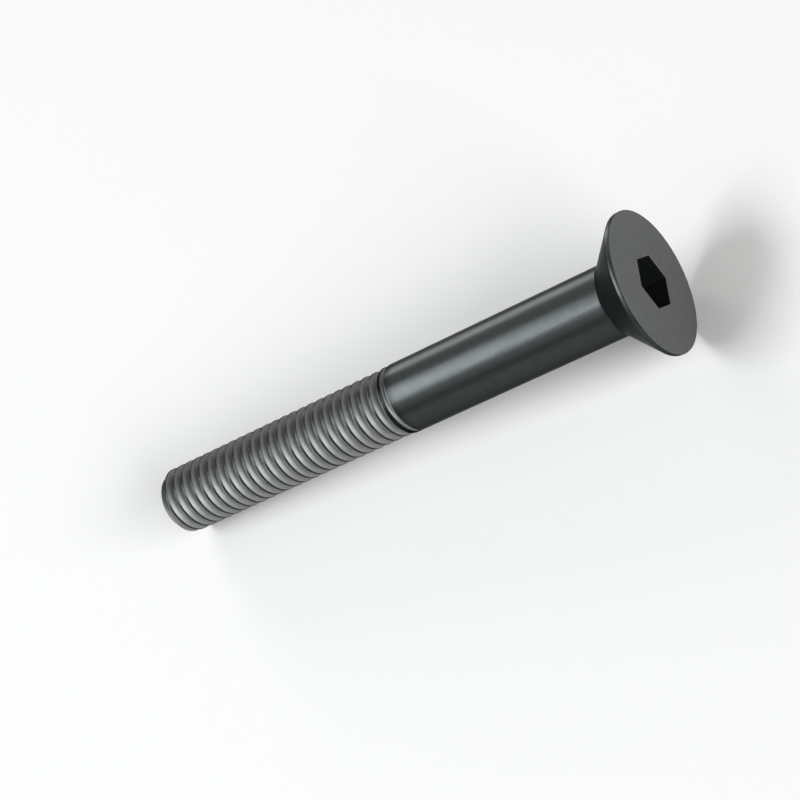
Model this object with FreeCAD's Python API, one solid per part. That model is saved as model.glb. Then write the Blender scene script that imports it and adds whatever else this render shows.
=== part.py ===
# Countersunk socket screw, 6 mm by 50 mm, with a plain shank under the head.
# One forged and rolled piece of steel. The length of a countersunk screw is
# measured from the flat face of the head to the tip, and so are all heights here.
# The screw is built upright on the Z axis with the head face at height zero and
# the tip below it, then turned over into the pose in which it lies on a table.
import FreeCAD, Part
import math
import os

# Driving dimensions in millimetres and degrees.
# Shank and thread
shank_diameter = 6.0
screw_length = 50.0
plain_length = 23.65        # head face to the end of the full shank
runout_length = 1.95        # where the groove floor climbs to the full shank
pitch = 1.0                 # coarse pitch, right hand
flank_angle = 30.0          # each flank, from square to the axis
crest_relief = 0.065        # rolled crests stand this far inside the shank
groove_depth = 0.345        # flat floor, a little above the sharp root of the real one
thread_turn = -32.4         # where the ridge starts, in degrees round the axis

# Head
head_diameter = 12.0
head_angle = 90.0           # included angle of the countersunk cone
rim_land = 0.43             # straight band round the rim
face_bevel = 0.05           # broken edge between the face and the rim

# Socket
socket_flats = 4.08         # across flats, for a 4 mm key
socket_depth = 2.5
socket_turn = -1.9          # a corner of the socket, in degrees round the axis
drill_angle = 120.0         # point left by the drill at the foot of the socket
drill_inset = 0.06          # drill radius inside the flats

# Tip
end_diameter = 4.8          # flat end
end_angle = 45.0            # chamfer that leads into the nut

# Pose
roll = -55.0                # turn of the lying screw about its own axis

# Values that follow from the dimensions above
shank_radius = shank_diameter / 2.0
crest_radius = shank_radius - crest_relief
floor_radius = crest_radius - groove_depth
pitch_radius = shank_radius - 0.32476 * pitch
head_radius = head_diameter / 2.0
end_radius = end_diameter / 2.0
cone_height = (head_radius - shank_radius) / math.tan(math.radians(head_angle / 2.0))
chamfer_length = (crest_radius - end_radius) / math.tan(math.radians(end_angle))

# Room that hidden shapes need to cross each other cleanly
foot_bite = 0.1 * pitch     # how deep the foot of the ridge is sunk in the core
overrun = 1.5 * pitch       # how far core and ridge run past the tip before it is cut


def turned(corners):
    """Solid turned on the Z axis from (radius, height) corners that touch the axis."""
    points = [FreeCAD.Vector(radius, 0, height) for radius, height in corners]
    outline = Part.makePolygon(points + [points[0]])
    return Part.Face(outline).revolve(FreeCAD.Vector(0, 0, 0), FreeCAD.Vector(0, 0, 1), 360)


def turned_blank():
    """Head, plain shank, run-out cone and the core under the thread."""
    runout_end = plain_length + runout_length
    below_tip = screw_length + overrun
    return turned([
        (0, 0),
        (head_radius - face_bevel, 0),
        (head_radius, -face_bevel),
        (head_radius, -rim_land),
        (shank_radius, -rim_land - cone_height),
        (shank_radius, -plain_length),
        (floor_radius, -runout_end),
        (floor_radius, -below_tip),
        (0, -below_tip),
    ])


def ridge_half_width(radius):
    """Half the thickness of the thread ridge at this distance from the axis."""
    return pitch / 4.0 - (radius - pitch_radius) * math.tan(math.radians(flank_angle))


def helix(radius, height):
    """One turn of a right-hand helix that starts at this height."""
    edge = Part.makeHelix(pitch, pitch, radius).Edges[0]
    edge.translate(FreeCAD.Vector(0, 0, height))
    return edge


def thread_ridge():
    """The raised thread, a cut-off V that climbs from below the tip.

    Each of its four sides is ruled between two helices, one turn at a time.
    Its foot is sunk in the core and its upper end is buried in the shank.
    """
    foot_radius = floor_radius - foot_bite
    foot = ridge_half_width(foot_radius)
    crest = ridge_half_width(crest_radius)
    section = [
        (foot_radius, -foot),
        (crest_radius, -crest),
        (crest_radius, crest),
        (foot_radius, foot),
    ]
    sides = []
    for i in range(4):
        radius, height = section[i]
        next_radius, next_height = section[(i + 1) % 4]
        side = Part.makeRuledSurface(helix(radius, height), helix(next_radius, next_height))
        sides.append(side.Faces[0])
    start = -(screw_length + overrun)
    turns = math.ceil((-plain_length + foot - start) / pitch)
    faces = []
    for turn in range(turns):
        for side in sides:
            face = side.copy()
            face.translate(FreeCAD.Vector(0, 0, start + turn * pitch))
            faces.append(face)
    for height in (start, start + turns * pitch):
        points = [FreeCAD.Vector(radius, 0, height + rise) for radius, rise in section]
        faces.append(Part.Face(Part.makePolygon(points + [points[0]])))
    shell = Part.makeShell(faces)
    shell.sewShape()
    ridge = Part.makeSolid(shell)
    ridge.rotate(FreeCAD.Vector(0, 0, 0), FreeCAD.Vector(0, 0, 1), thread_turn)
    return ridge


def tip_waste():
    """All that lies below the flat end and outside its chamfer."""
    outside = 2.0 * shank_radius
    reach = (outside - end_radius) / math.tan(math.radians(end_angle))
    low = screw_length + 2.0 * overrun + pitch
    return turned([
        (0, -screw_length),
        (0, -low),
        (outside, -low),
        (outside, reach - screw_length),
        (end_radius, -screw_length),
    ])


def key_socket():
    """Six-sided hollow for the key, with the drill point below its flat foot."""
    corner_radius = socket_flats / 2.0 / math.cos(math.radians(30))
    corners = []
    for i in range(7):
        angle = math.radians(socket_turn + 60 * i)
        x = corner_radius * math.cos(angle)
        y = corner_radius * math.sin(angle)
        corners.append(FreeCAD.Vector(x, y, -socket_depth))
    hexagon = Part.Face(Part.makePolygon(corners))
    hollow = hexagon.extrude(FreeCAD.Vector(0, 0, socket_depth + pitch))
    drill_radius = socket_flats / 2.0 - drill_inset
    point = drill_radius / math.tan(math.radians(drill_angle / 2.0))
    drill = turned([
        (0, point - socket_depth),
        (drill_radius, point - socket_depth),
        (drill_radius, -socket_depth),
        (0, -socket_depth - point),
    ])
    return hollow.fuse(drill)


def lying(shape):
    """Turn the screw over so that its rim and its last crest touch the table.

    The middle of its outline then stands over the origin.
    """
    crest_end = screw_length - chamfer_length
    tilt = math.atan2(head_radius - crest_radius, crest_end - rim_land)
    face_height = head_radius * math.cos(tilt) + rim_land * math.sin(tilt)
    front = (head_radius - face_bevel) * math.sin(tilt)
    rear = -screw_length * math.cos(tilt) - end_radius * math.sin(tilt)
    shape.rotate(FreeCAD.Vector(0, 0, 0), FreeCAD.Vector(0, 0, 1), roll + 90)
    shape.rotate(FreeCAD.Vector(0, 0, 0), FreeCAD.Vector(0, 1, 0), 90 - math.degrees(tilt))
    shape.translate(FreeCAD.Vector(-(front + rear) / 2.0, 0, face_height))
    return shape


def countersunk_screw():
    screw = turned_blank().fuse(thread_ridge())
    screw = screw.cut(tip_waste())
    screw = screw.cut(key_socket())
    return lying(screw.Solids[0])


os.makedirs("parts", exist_ok=True)
countersunk_screw().exportStep("parts/countersunk_screw.step")
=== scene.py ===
# %% [markdown]
# # A countersunk socket screw, modelled and lit
#
# The object is one piece of blackened steel: a flat head on a cone, a smooth
# shank and a rolled thread. The construction model gives its exact size and
# pose, and this lesson gives it a full-depth thread, broken edges and a finish.
#
# The steps are: load the construction model, set the camera, turn the body,
# wind the thread, join the two, broach the key socket, lay the screw on the
# table, give it its finish and light it.

# %% Load the construction model
import bpy
import bmesh
import math
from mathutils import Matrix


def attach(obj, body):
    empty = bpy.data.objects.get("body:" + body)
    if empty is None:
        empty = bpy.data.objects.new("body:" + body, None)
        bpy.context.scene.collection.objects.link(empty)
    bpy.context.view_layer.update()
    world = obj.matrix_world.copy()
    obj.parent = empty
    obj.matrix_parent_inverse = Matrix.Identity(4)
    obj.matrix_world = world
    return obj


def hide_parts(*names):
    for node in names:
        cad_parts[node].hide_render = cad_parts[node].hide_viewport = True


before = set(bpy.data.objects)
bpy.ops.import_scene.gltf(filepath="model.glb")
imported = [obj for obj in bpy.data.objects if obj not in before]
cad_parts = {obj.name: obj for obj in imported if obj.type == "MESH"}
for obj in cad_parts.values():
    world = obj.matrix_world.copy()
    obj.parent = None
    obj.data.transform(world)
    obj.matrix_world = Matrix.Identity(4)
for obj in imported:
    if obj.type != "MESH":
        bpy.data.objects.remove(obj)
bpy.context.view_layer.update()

# %% [markdown]
# The camera comes first, so that every later step can be judged in the frame
# of the photograph. It could be placed by eye. Here its place, turn and lens
# were fitted to the outlines of the screw, which is surer, because a thin
# round bar shows every degree of a wrong angle in the shape of its head.

# %% Camera
bpy.ops.object.camera_add(
    location=(0.0871685, -0.0904519, 0.1393418),
    rotation=[math.radians(angle) for angle in (26.35247, 35.27988, -5.38830)],
)
camera = bpy.context.object
camera.name = "camera"
camera.data.lens = 100.9014
camera.data.clip_start = 0.01
bpy.context.scene.camera = camera
print("camera lens in mm:", camera.data.lens)

# %% [markdown]
# A few small helpers serve every piece. The screw is drawn upright on the Z
# axis, with its head face at height zero and one unit to the millimetre,
# because the merging and cutting tools are made for things of that size. It is
# scaled down and laid on the table at the end.
#
# Every operator works on all that is selected, so each helper first clears the
# selection and then picks what it needs by its place.

# %% Helpers for selecting and finishing
def pick(piece):
    """Select this piece alone."""
    bpy.ops.object.select_all(action="DESELECT")
    piece.select_set(True)
    bpy.context.view_layer.objects.active = piece


def edit(piece, mode="VERT"):
    """Open this piece for editing with nothing selected."""
    pick(piece)
    bpy.ops.object.mode_set(mode="EDIT")
    bpy.ops.mesh.select_mode(type=mode)
    bpy.ops.mesh.select_all(action="DESELECT")


def select_where(piece, test, mode="VERT"):
    """Select the points, edges or faces whose corners all pass a test of radius and height."""
    shape = bmesh.from_edit_mesh(piece.data)
    parts = {"VERT": shape.verts, "EDGE": shape.edges, "FACE": shape.faces}[mode]
    count = 0
    for part in parts:
        corners = [part] if mode == "VERT" else part.verts
        if all(test(math.hypot(c.co.x, c.co.y), c.co.z) for c in corners):
            part.select = True
            count += 1
    bmesh.update_edit_mesh(piece.data)
    return count


def close_edit():
    """Point all faces outward and leave edit mode."""
    bpy.ops.mesh.select_all(action="SELECT")
    bpy.ops.mesh.normals_make_consistent(inside=False)
    bpy.ops.object.mode_set(mode="OBJECT")


def triangles(piece):
    return sum(len(face.vertices) - 2 for face in piece.data.polygons)


def cut(piece, tool, operation):
    """Join, cut or trim a piece with another closed piece, and remove that piece."""
    pick(piece)
    modifier = piece.modifiers.new("cut", "BOOLEAN")
    modifier.operation = operation
    modifier.solver = "EXACT"
    modifier.object = tool
    bpy.ops.object.modifier_apply(modifier=modifier.name)
    bpy.data.objects.remove(tool)
    print(operation.lower(), "left", triangles(piece), "triangles on", piece.name)


# %% [markdown]
# The body of a screw is round, so it could be spun from a half outline. Growing
# it ring by ring is just as exact and easier to follow: a disc is extruded
# upward, and each new ring is scaled to the radius that the screw has there.
# The corners are rounded afterwards with bevels, so each keeps its own size.

# %% Helper for round bodies
def turned(name, stations, sides=192):
    """A closed round body through these (radius, height) rings, from the lowest up."""
    radius, height = stations[0]
    bpy.ops.object.select_all(action="DESELECT")
    bpy.ops.mesh.primitive_circle_add(
        vertices=sides, radius=radius, fill_type="NGON", location=(0, 0, height)
    )
    body = bpy.context.object
    body.name = name
    bpy.ops.object.transform_apply(location=True, rotation=True, scale=True)
    bpy.ops.object.mode_set(mode="EDIT")
    bpy.ops.mesh.select_all(action="SELECT")
    for next_radius, next_height in stations[1:]:
        rise = (0, 0, next_height - height)
        grow = next_radius / radius
        bpy.ops.mesh.extrude_region_move(TRANSFORM_OT_translate={"value": rise})
        bpy.ops.transform.resize(value=(grow, grow, 1), center_override=(0, 0, next_height))
        radius, height = next_radius, next_height
    close_edit()
    print(name, "has", len(stations), "rings of", sides, "corners")
    return body


def round_ring(body, radius, height, size, segments):
    """Round off the edges of one ring of a turned body."""
    edit(body, "EDGE")
    found = select_where(
        body,
        lambda r, z: abs(r - radius) < 0.005 and abs(z - height) < 0.002,
        "EDGE",
    )
    bpy.ops.mesh.bevel(offset=size, offset_type="OFFSET", segments=segments, affect="EDGES")
    close_edit()
    print("rounded", found, "edges at radius", radius)


# %% [markdown]
# The body runs from the flat tip over its chamfer, the bar that will carry the
# thread, the shank and the head's cone to the rim and the head face. The bar is
# left a little too thick where the thread comes, as the thread brings its own
# surface. The edges are broken by very little: the real ones look sharp, but
# every real edge carries a thin line of light. The corner between shank and
# cone gets a small hollow fillet, as a forged screw has.

# %% Head, shank and bar
# Radii
RIM = 6.0
SHANK = 3.0
CREST = 2.935
ROOT = 2.387
END = 2.4               # flat end of the tip
BAR = END + 0.75        # a little over the crests

# Heights
FACE = 0.0
LAND = -0.43            # lower edge of the straight band round the rim
CONE_FOOT = LAND - 3.0
RUNOUT_START = -25.15   # from here the groove gets shallower towards the head
RUNOUT = 1.5            # and is gone after this height
TIP = -50.0

# Broken and filleted edges
END_BREAK = 0.03
FILLET = 0.12
RIM_BREAK = 0.07
FACE_BREAK = 0.06

body = turned("screw", [
    (END - 0.05, TIP),
    (END, TIP + END_BREAK),
    (BAR, TIP + END_BREAK + BAR - END),
    (BAR, RUNOUT_START - 0.1),
    (SHANK, RUNOUT_START),
    (SHANK, CONE_FOOT),
    (RIM, LAND),
    (RIM, FACE),
])
round_ring(body, SHANK, CONE_FOOT, FILLET, segments=5)
round_ring(body, RIM, LAND, RIM_BREAK, segments=3)
round_ring(body, RIM, FACE, FACE_BREAK, segments=3)

# %% [markdown]
# The thread is a coarse one of 1 mm pitch with 60 degrees between its flanks.
# It could be cut from the bar with a groove-shaped tool, but a rolled thread is
# one smooth ribbon, so it is wound: the outline of one pitch, from crest to
# crest, is drawn as a chain of points, its corners are rounded, and the Screw
# modifier winds it round the axis. Each turn joins the one before it.
#
# The outline has a narrow flat crest with barely broken corners and a round
# root, because the points of a rolling die are round.

# %% Outline of one pitch
PITCH = 1.0
TURNS = 30
START = -52.41          # lowest crest; this sets the turn of the whole thread
FLAT = 0.10             # half the width of a crest
FLANK = 30              # degrees from square to the axis
apex_depth = (PITCH / 2 - FLAT) / math.tan(math.radians(FLANK))

bpy.ops.object.select_all(action="DESELECT")
bpy.ops.mesh.primitive_plane_add(size=1, location=(0, 0, 0))
thread = bpy.context.object
thread.name = "thread"
bpy.ops.object.mode_set(mode="EDIT")
bpy.ops.mesh.select_mode(type="VERT")
bpy.ops.mesh.select_all(action="SELECT")
bpy.ops.mesh.merge(type="CENTER")
bpy.ops.transform.translate(value=(CREST, 0, START))
for step in (
    (0, 0, FLAT),
    (-apex_depth, 0, PITCH / 2 - FLAT),
    (apex_depth, 0, PITCH / 2 - FLAT),
    (0, 0, FLAT),
):
    bpy.ops.mesh.extrude_region_move(TRANSFORM_OT_translate={"value": step})
print("apex of the groove at radius", round(CREST - apex_depth, 3))

# %% Round the crest corners and the root
ROOT_ROUND = 0.285
CREST_ROUND = 0.02


def round_points(test, size, segments):
    """Round off the points of the outline that pass a test of radius and height."""
    bpy.ops.mesh.select_all(action="DESELECT")
    select_where(thread, test)
    bpy.ops.mesh.bevel(offset=size, offset_type="OFFSET", segments=segments, affect="VERTICES")


round_points(lambda r, z: abs(r - (CREST - apex_depth)) < 0.01, ROOT_ROUND, segments=6)
round_points(
    lambda r, z: r > CREST - 0.001 and FLAT / 2 < (z - START) % PITCH < PITCH - FLAT / 2,
    CREST_ROUND,
    segments=2,
)
bpy.ops.object.mode_set(mode="OBJECT")
print("outline of one pitch has", len(thread.data.vertices), "points")

# %% Wind the thread
STEPS = 120             # to the turn

pick(thread)
winding = thread.modifiers.new("winding", "SCREW")
winding.axis = "Z"
winding.angle = math.radians(360)
winding.screw_offset = PITCH
winding.iterations = TURNS
winding.steps = STEPS
winding.render_steps = STEPS
winding.use_merge_vertices = True
winding.merge_threshold = 0.0005
bpy.ops.object.modifier_apply(modifier=winding.name)
print("wound thread has", triangles(thread), "triangles")

# %% [markdown]
# The winding is a hollow ribbon that is open at both ends. It is cut off square
# below the tip and inside the shank, and the cuts are filled, which makes it a
# closed body that the other bodies can be cut with.

# %% Cut the ends of the winding square
BOTTOM = -51.2
TOP = -23.2

edit(thread)
for height, keep_above in ((BOTTOM, True), (TOP, False)):
    bpy.ops.mesh.select_all(action="SELECT")
    bpy.ops.mesh.bisect(
        plane_co=(0, 0, height),
        plane_no=(0, 0, 1),
        use_fill=True,
        clear_inner=keep_above,
        clear_outer=not keep_above,
        threshold=0.00001,
    )
bpy.ops.mesh.select_all(action="SELECT")
bpy.ops.mesh.remove_doubles(threshold=0.0005)
close_edit()

edges = bmesh.new()
edges.from_mesh(thread.data)
open_edges = sum(1 for edge in edges.edges if not edge.is_manifold)
edges.free()
print("open edges on the thread:", open_edges)

# %% [markdown]
# Towards the shank the groove of a rolled thread gets shallower and narrower in
# its last turn and a half, until it is gone, while the crest beside it widens.
# A taper on the upper end of the winding does that: it swells until even its
# root stands outside the shank, so that less and less of the groove is left
# when the two are joined. Shallower copies of the outline would do it as well,
# but in steps, and a rolled groove has none.

# %% Let the groove run out
bpy.context.scene.cursor.location = (0, 0, RUNOUT_START)
pick(thread)
bpy.ops.object.origin_set(type="ORIGIN_CURSOR")
swell = thread.modifiers.new("run-out", "SIMPLE_DEFORM")
swell.deform_method = "TAPER"
swell.deform_axis = "Z"
swell.limits = ((RUNOUT_START - BOTTOM) / (TOP - BOTTOM), 1.0)
swell.factor = (SHANK / ROOT - 1.0) / RUNOUT * (TOP - RUNOUT_START)
bpy.ops.object.modifier_apply(modifier=swell.name)
bpy.ops.object.transform_apply(location=True, rotation=True, scale=True)
bpy.context.scene.cursor.location = (0, 0, 0)
widest = max(math.hypot(point.co.x, point.co.y) for point in thread.data.vertices)
print("the winding swells to radius", round(widest, 3))

# %% [markdown]
# What the winding and the bar have in common is the threaded screw. Above the
# thread nothing may be lost, so a wide block is first joined to the winding
# there, which holds the shank and the head.

# %% Join winding and body
WIDE = 8.0              # clear of the rim

above = turned("above", [(WIDE, TOP - 0.15), (WIDE, FACE + 1.0)], sides=32)
cut(thread, above, "UNION")
cut(body, thread, "INTERSECT")

# %% [markdown]
# The socket is broached with a six-sided punch after a drill has made room for
# the chips. The same two tools are modelled here: a six-sided prism that flares
# a little at the mouth, which leaves a thin broken edge there, and a drill with
# its point. Both are cut from the head.

# %% Broach and drill the socket
FLATS = 4.08
DEPTH = 2.5
DRILL = 1.98            # radius
DRILL_POINT = 1.13      # height of its point
FLARE = 0.04            # broken edge of the mouth
OVER = 0.03             # how far the punch stands out of the head
SOCKET_TURN = -1.9      # degrees round the axis
corner = FLATS / 2 / math.cos(math.radians(30))

drill = turned("drill", [
    (0.02, -DEPTH - DRILL_POINT),
    (DRILL, -DEPTH),
    (DRILL, -DEPTH + 0.5),
], sides=96)
punch = turned("punch", [
    (corner, -DEPTH),
    (corner, -FLARE),
    (corner + FLARE + OVER, OVER),
], sides=6)
# A circle's first corner lies on the Y axis, and the socket's near the X axis.
punch.rotation_euler.z = math.radians(SOCKET_TURN - 90)
pick(punch)
bpy.ops.object.transform_apply(location=True, rotation=True, scale=True)
cut(body, drill, "DIFFERENCE")
cut(body, punch, "DIFFERENCE")

# %% [markdown]
# Now the screw is laid on the table. It rests on the back edge of its rim and
# on the last crests at the tip, so its axis rises towards the head. The turn
# about its own axis is the one in the photograph, where a corner of the socket
# and the first groove can be read.

# %% Lay the screw on the table
TILT = 3.5767           # degrees by which the axis rises
ROLL = -55.0            # degrees about the axis
MILLIMETRE = 0.001
head_face = (0.02484057, 0.0, 0.00601514)

pick(body)
body.rotation_euler = (0, 0, math.radians(ROLL + 90))
bpy.ops.object.transform_apply(location=True, rotation=True, scale=True)
body.rotation_euler = (0, math.radians(90 - TILT), 0)
bpy.ops.object.transform_apply(location=True, rotation=True, scale=True)
body.scale = (MILLIMETRE, MILLIMETRE, MILLIMETRE)
body.location = head_face
bpy.ops.object.transform_apply(location=True, rotation=True, scale=True)

lowest = min(point.co.z for point in body.data.vertices)
print("lowest point above the table in mm:", round(lowest / MILLIMETRE, 4))

# %% Smooth the round faces
pick(body)
bpy.ops.object.shade_smooth_by_angle(angle=math.radians(32))
weighted = body.modifiers.new("even shading", "WEIGHTED_NORMAL")
weighted.mode = "FACE_AREA"
weighted.weight = 100
weighted.keep_sharp = True
bpy.ops.object.modifier_apply(modifier=weighted.name)
print("the screw has", triangles(body), "triangles")

# %% [markdown]
# The finish is black oxide on steel: a thin dark layer that keeps the metal's
# gloss but spreads it to a satin. Drawing leaves fine streaks along the shank.
# The groove of the thread is rougher and duller, and it is painted a lighter grey
# that stands in for the light on its flanks; the narrow crests are painted darkest,
# as painted shade between the bands. The flat head face is dull with a faint mottle.
# A plain dark colour would show none of that.
#
# The patterns read object coordinates turned along the screw's own axis: the
# length along it tells flat end, thread, shank and head face apart, and the
# distance from it tells crest from groove.

# %% Finish
steel = bpy.data.materials.new("blackened_steel")
steel.use_nodes = True
nodes = steel.node_tree.nodes
links = steel.node_tree.links
nodes.clear()
output = nodes.new("ShaderNodeOutputMaterial")
shader = nodes.new("ShaderNodeBsdfPrincipled")
links.new(shader.outputs["BSDF"], output.inputs["Surface"])
shader.inputs["Specular IOR Level"].default_value = 0.0
shader.inputs["Specular Tint"].default_value = (0.4, 0.4, 0.4, 1)


def math_node(operation, first, second=None):
    """A Math node on sockets or plain numbers."""
    node = nodes.new("ShaderNodeMath")
    node.operation = operation
    for slot, value in zip(node.inputs, (first, second)):
        if isinstance(value, (int, float)):
            slot.default_value = value
        elif value is not None:
            links.new(value, slot)
    return node.outputs[0]


def ramp(value, stops):
    """A grey curve through (position, grey) stops."""
    node = nodes.new("ShaderNodeValToRGB")
    links.new(value, node.inputs[0])
    points = node.color_ramp.elements
    points[0].position, points[1].position = stops[0][0], stops[-1][0]
    for position, grey in stops[1:-1]:
        points.new(position)
    for point, (position, grey) in zip(points, stops):
        point.color = (grey, grey, grey, 1)
    return node.outputs[0]


def noise(vector, scale, detail, roughness):
    """A noise pattern from 0 to 1 with this many waves to the millimetre."""
    node = nodes.new("ShaderNodeTexNoise")
    links.new(vector, node.inputs["Vector"])
    node.inputs["Scale"].default_value = scale
    node.inputs["Detail"].default_value = detail
    node.inputs["Roughness"].default_value = roughness
    return node.outputs["Fac"]


# %% Coordinates along the screw
place = nodes.new("ShaderNodeTexCoord")
along = nodes.new("ShaderNodeMapping")
along.vector_type = "TEXTURE"
along.inputs["Location"].default_value = head_face
along.inputs["Rotation"].default_value = (0, -math.radians(TILT), 0)
along.inputs["Scale"].default_value = (MILLIMETRE, MILLIMETRE, MILLIMETRE)
links.new(place.outputs["Object"], along.inputs["Vector"])
split = nodes.new("ShaderNodeSeparateXYZ")
links.new(along.outputs[0], split.inputs[0])
station = split.outputs["X"]
radius = math_node("SQRT", math_node("ADD",
    math_node("MULTIPLY", split.outputs["Y"], split.outputs["Y"]),
    math_node("MULTIPLY", split.outputs["Z"], split.outputs["Z"])))
stretch = nodes.new("ShaderNodeMapping")
stretch.inputs["Scale"].default_value = (0.06, 1.0, 1.0)
links.new(along.outputs[0], stretch.inputs["Vector"])
print("finish reads millimetres from the head face")

# %% Colour, gloss and grain of the steel
# From the tip at 0 to the head face at 1; the flat end itself is no thread.
on_thread = ramp(math_node("DIVIDE", math_node("SUBTRACT", station, TIP), -TIP),
                 [(0.0, 0.0), (0.001, 0.0), (0.005, 1.0), (0.51, 1.0), (0.53, 0.0), (1.0, 0.0)])
# From 0.06 mm to 0.01 mm below the head face
on_face = ramp(math_node("ADD", station, 0.6), [(0.54, 0.0), (0.59, 1.0)])
streaks = noise(stretch.outputs[0], 5.0, 4.0, 0.6)
mottle = noise(along.outputs[0], 1.6, 3.0, 0.55)
grain = noise(along.outputs[0], 14.0, 2.0, 0.5)


def blend(factor, first, second):
    """A mix of two colours; each is a socket or a plain colour."""
    node = nodes.new("ShaderNodeMix")
    node.data_type = "RGBA"
    links.new(factor, node.inputs["Factor"])
    slots = [slot for slot in node.inputs if slot.type == "RGBA"]
    for slot, colour in zip(slots, (first, second)):
        if isinstance(colour, tuple):
            slot.default_value = colour + (1,)
        else:
            links.new(colour, slot)
    return next(result for result in node.outputs if result.type == "RGBA")


black = (0.045, 0.049, 0.049)
# Painted shade: the crests of the thread are painted darker than the shank, so that they read as
# thin dark lines between the bands.
painted_shade_crest_tone = (0.014, 0.016, 0.016)
# Painted light: the groove of the thread is painted a light grey that stands in for the light on
# its flanks.
painted_light_groove_tone = (0.25, 0.256, 0.253)
face_tone = (0.108, 0.112, 0.11)
METAL = 0.86
GROOVE_LESS_METAL, FACE_LESS_METAL = 0.05, 0.55
GROOVE_ROUGHER, FACE_ROUGHER = 0.21, 0.15

inside = ramp(math_node("DIVIDE", radius, SHANK),
              [(0.0, 1.0), (0.964, 1.0), (0.979, 0.0), (1.0, 0.0)])
in_groove = math_node("MULTIPLY", on_thread, inside)
# Painted light and shade: the crests get the dark painted-shade tone and the groove the light
# painted-light tone.
tone = blend(on_thread, black, painted_shade_crest_tone)
tone = blend(in_groove, tone, painted_light_groove_tone)
tone = blend(on_face, tone, face_tone)
vary = math_node("ADD", 0.86, math_node("MULTIPLY", mottle, 0.28))
shade = nodes.new("ShaderNodeVectorMath")
shade.operation = "SCALE"
links.new(tone, shade.inputs[0])
links.new(vary, shade.inputs["Scale"])
links.new(shade.outputs[0], shader.inputs["Base Color"])
less_metal = math_node("MAXIMUM", math_node("MULTIPLY", in_groove, GROOVE_LESS_METAL),
                       math_node("MULTIPLY", on_face, FACE_LESS_METAL))
links.new(math_node("SUBTRACT", METAL, less_metal), shader.inputs["Metallic"])

rough = math_node("ADD", 0.24, math_node("MULTIPLY", streaks, 0.14))
rougher = math_node("MAXIMUM", math_node("MULTIPLY", in_groove, GROOVE_ROUGHER),
                    math_node("MULTIPLY", on_face, FACE_ROUGHER))
links.new(math_node("ADD", rough, rougher), shader.inputs["Roughness"])

bump = nodes.new("ShaderNodeBump")
bump.inputs["Strength"].default_value = 0.12
bump.inputs["Distance"].default_value = 0.00002
relief = math_node("ADD", math_node("MULTIPLY", streaks, 0.7),
                   math_node("MULTIPLY", grain, 0.3))
links.new(relief, bump.inputs["Height"])
links.new(bump.outputs["Normal"], shader.inputs["Normal"])

body.data.materials.clear()
body.data.materials.append(steel)
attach(body, "root")
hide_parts("countersunk_screw")

# %% [markdown]
# The table is a plain pale sheet that fills the picture. It isn't part of the
# object.

# %% Table
bpy.ops.object.select_all(action="DESELECT")
bpy.ops.mesh.primitive_plane_add(size=2.2, location=(0, 0, 0))
table = bpy.context.object
table.name = "table"
paper = bpy.data.materials.new("pale_paper")
paper.use_nodes = True
surface = paper.node_tree.nodes["Principled BSDF"]
surface.inputs["Base Color"].default_value = (0.745, 0.745, 0.74, 1)
surface.inputs["Roughness"].default_value = 0.9
surface.inputs["Specular IOR Level"].default_value = 0.0
table.data.materials.append(paper)

# %% [markdown]
# Satin metal shows its surroundings more than its own colour, so the light is
# what models it. The places of the boxes come from the photograph: each band
# along the shank tells where its light must stand to be mirrored there.
#
# A long box above the tip gives the broad band, a low warm one behind gives the
# thin band near the upper edge, and a wide one at the head's side lights the
# flanks of the thread that face it. Two dim boxes, behind and by the camera,
# soften the gaps between the bands. The room is dim above a low pale wall,
# because a bright one would wash the bands out.

# %% Light
def soft_box(name, direction, width, height, brightness, colour=(1, 1, 1)):
    """A soft box that shines at the screw from a metre away in this direction.

    Its brightness is that of a white surface of this value.
    """
    length = math.sqrt(sum(part * part for part in direction))
    spot = [part / length for part in direction]
    bpy.ops.object.light_add(type="AREA", location=spot)
    lamp = bpy.context.object
    lamp.name = name
    lamp.data.shape = "RECTANGLE"
    lamp.data.size = width
    lamp.data.size_y = height
    lamp.data.energy = brightness * math.pi * width * height
    lamp.data.color = colour
    aside = math.hypot(direction[0], direction[1])
    lamp.rotation_euler = (
        math.atan2(aside, direction[2]),
        0,
        math.atan2(direction[1], direction[0]) + math.pi / 2,
    )
    print(name, "stands at", [round(part, 3) for part in spot])


COOL = (0.96, 0.99, 1.0)
WARM = (1.0, 0.97, 0.94)

soft_box("soft box over the shank", (-0.600, -0.154, 0.785), 0.74, 0.28, 12.5, COOL)
soft_box("low box behind", (-0.494, 0.845, 0.206), 0.38, 0.42, 9.5, WARM)
soft_box("dim box behind", (-0.41, 0.575, 0.71), 0.6, 0.5, 1.0)
soft_box("soft box at the head side", (0.790, -0.478, 0.380), 0.85, 0.34, 12.0)
soft_box("soft box by the camera", (-0.445, -0.68, 0.583), 0.7, 0.5, 1.1)

world = bpy.data.worlds.new("room")
bpy.context.scene.world = world
world.use_nodes = True
room = world.node_tree.nodes
wires = world.node_tree.links
background = room["Background"]
where = room.new("ShaderNodeTexCoord")
parts = room.new("ShaderNodeSeparateXYZ")
wires.new(where.outputs["Generated"], parts.inputs[0])
walls = room.new("ShaderNodeValToRGB")
wires.new(parts.outputs["Z"], walls.inputs[0])
PALE, DIM, DIMMEST = 0.70, 0.14, 0.12
stops = walls.color_ramp.elements
stops.new(0.12)
stops.new(0.18)
for stop, (height, grey) in zip(stops, ((0.0, PALE), (0.12, PALE), (0.18, DIM), (0.4, DIMMEST))):
    stop.position = height
    stop.color = (grey, grey, grey, 1)
wires.new(walls.outputs[0], background.inputs["Color"])
background.inputs["Strength"].default_value = 1.0

# %% Colour handling
bpy.context.scene.view_settings.view_transform = "Standard"
